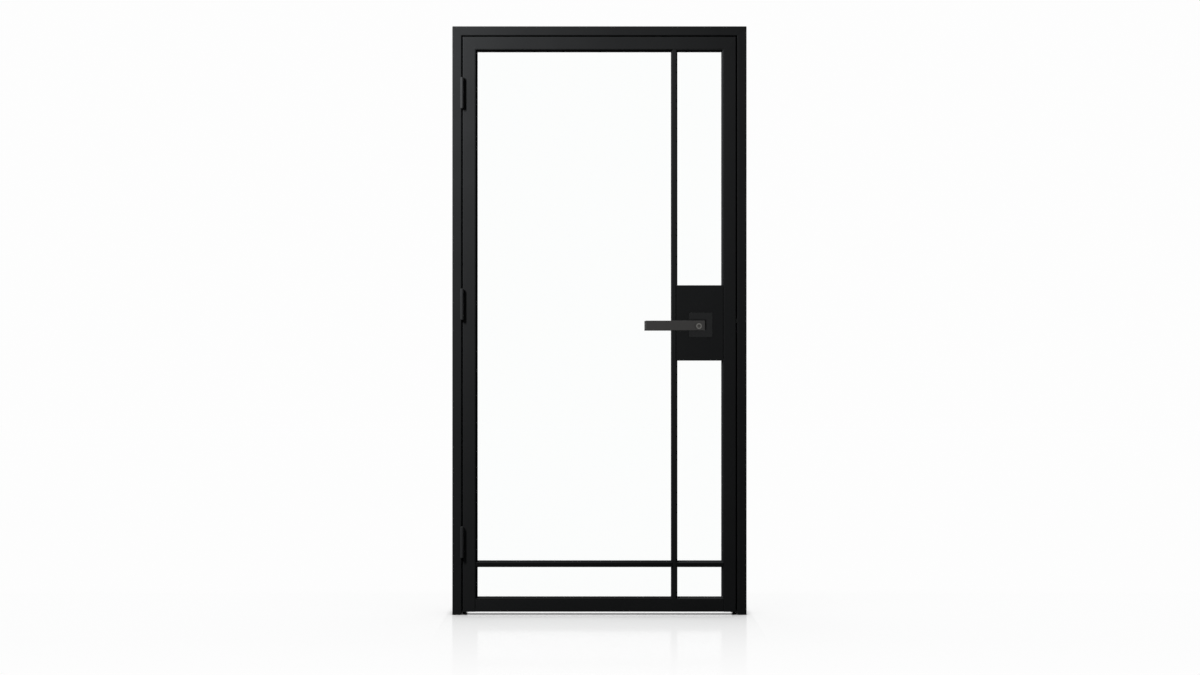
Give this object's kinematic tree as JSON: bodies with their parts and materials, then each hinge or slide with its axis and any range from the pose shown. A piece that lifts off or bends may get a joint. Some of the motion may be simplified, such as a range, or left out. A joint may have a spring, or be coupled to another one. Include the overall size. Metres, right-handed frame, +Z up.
{
  "type": "glass door",
  "caption": "Glass door leaf in slim black steel tube with glazing bars and a flush lock panel, hung on barrel hinges in a mitred rebate frame, with a flat lever and sprung latch.",
  "frame": {"origin": "on the floor, midway between the frame's outer edges, in the middle of the leaf's thickness", "axes": "+X to the latch side seen from the front, +Y away from the viewer, +Z up"},
  "size_m": [1.05, 0.168, 2.1],
  "materials": {
    "black_powder_coat": "satin",
    "black_hardware": "satin",
    "clear_glass": "gloss",
    "black_rubber": "matte",
    "black_plastic": "matte",
    "zinc_steel": "satin",
    "black_steel": "satin",
    "satin_nickel": "satin"
  },
  "bodies": {
    "frame": {"hinge_jamb": "black_powder_coat", "latch_jamb": "black_powder_coat", "head": "black_powder_coat", "corner_cleats": "black_steel", "hinge_jamb_seal": "black_rubber", "latch_jamb_seal": "black_rubber", "head_seal": "black_rubber", "bottom_hinge_frame_knuckle": "black_powder_coat", "middle_hinge_frame_knuckle": "black_powder_coat", "top_hinge_frame_knuckle": "black_powder_coat", "hinge_pins": "zinc_steel", "hinge_washers": "black_plastic", "strike_plate": "zinc_steel", "strike_box": "zinc_steel", "strike_screws": "zinc_steel"},
    "lever": {"front_lever": "black_hardware", "rear_lever": "black_hardware", "spindle": "zinc_steel", "follower": "zinc_steel", "key_cylinder": "satin_nickel"},
    "latch": {"latch_bolt": "black_steel"},
    "key": {"key_plug": "satin_nickel"},
    "button": {"turn_button": "satin_nickel"},
    "leaf": {"hinge_stile": "black_powder_coat", "latch_stile": "black_powder_coat", "top_rail": "black_powder_coat", "bottom_rail": "black_powder_coat", "upright_bar": "black_powder_coat", "left_cross_bar": "black_powder_coat", "right_cross_bar": "black_powder_coat", "lock_front_plate": "black_powder_coat", "lock_rear_plate": "black_powder_coat", "lock_box": "black_powder_coat", "bottom_hinge_leaf_knuckle": "black_powder_coat", "middle_hinge_leaf_knuckle": "black_powder_coat", "top_hinge_leaf_knuckle": "black_powder_coat", "main_beads": "black_powder_coat", "upper_side_beads": "black_powder_coat", "lower_side_beads": "black_powder_coat", "bottom_main_beads": "black_powder_coat", "bottom_side_beads": "black_powder_coat", "main_pane": "clear_glass", "upper_side_pane": "clear_glass", "lower_side_pane": "clear_glass", "bottom_main_pane": "clear_glass", "bottom_side_pane": "clear_glass", "glazing_gaskets": "black_rubber", "stile_end_caps": "black_plastic", "lock_packers": "black_plastic", "front_rose": "black_hardware", "rear_rose": "black_hardware", "front_rose_base": "zinc_steel", "rear_rose_base": "zinc_steel", "rose_bolts": "zinc_steel", "latch_case": "zinc_steel", "latch_case_cover": "zinc_steel", "latch_faceplate": "zinc_steel", "faceplate_screws": "zinc_steel", "latch_spring": "zinc_steel"}
  },
  "joints": [
    {"name": "door_swing", "type": "hinge", "parent": "frame", "child": "leaf", "pos_m": [-0.48975, -0.029, 1.108], "axis": [0, 0, -1], "range_deg": [0, 170]},
    {"name": "lever_turn", "type": "hinge", "parent": "leaf", "child": "lever", "pos_m": [0.3515, 0, 1.03], "axis": [0, -1, 0], "range_deg": [0, 45], "stiffness_Nm_per_rad": 1.2, "springref_deg": -80.21},
    {"name": "latch_slide", "type": "slide", "parent": "leaf", "child": "latch", "axis": [-1, 0, 0], "range_m": [0, 0.012], "deforming": ["latch_spring"]},
    {"name": "key_turn", "type": "hinge", "parent": "lever", "child": "key", "pos_m": [0.3515, 0, 1.03], "axis": [0, -1, 0], "range_deg": [0, 90]},
    {"name": "button_turn", "type": "hinge", "parent": "lever", "child": "button", "pos_m": [0.3515, 0, 1.03], "axis": [0, 1, 0], "range_deg": [0, 90]}
  ],
  "couplings": [
    {"joint": "latch_slide", "follows": "lever_turn", "m_per_rad": 0.01527}
  ]
}
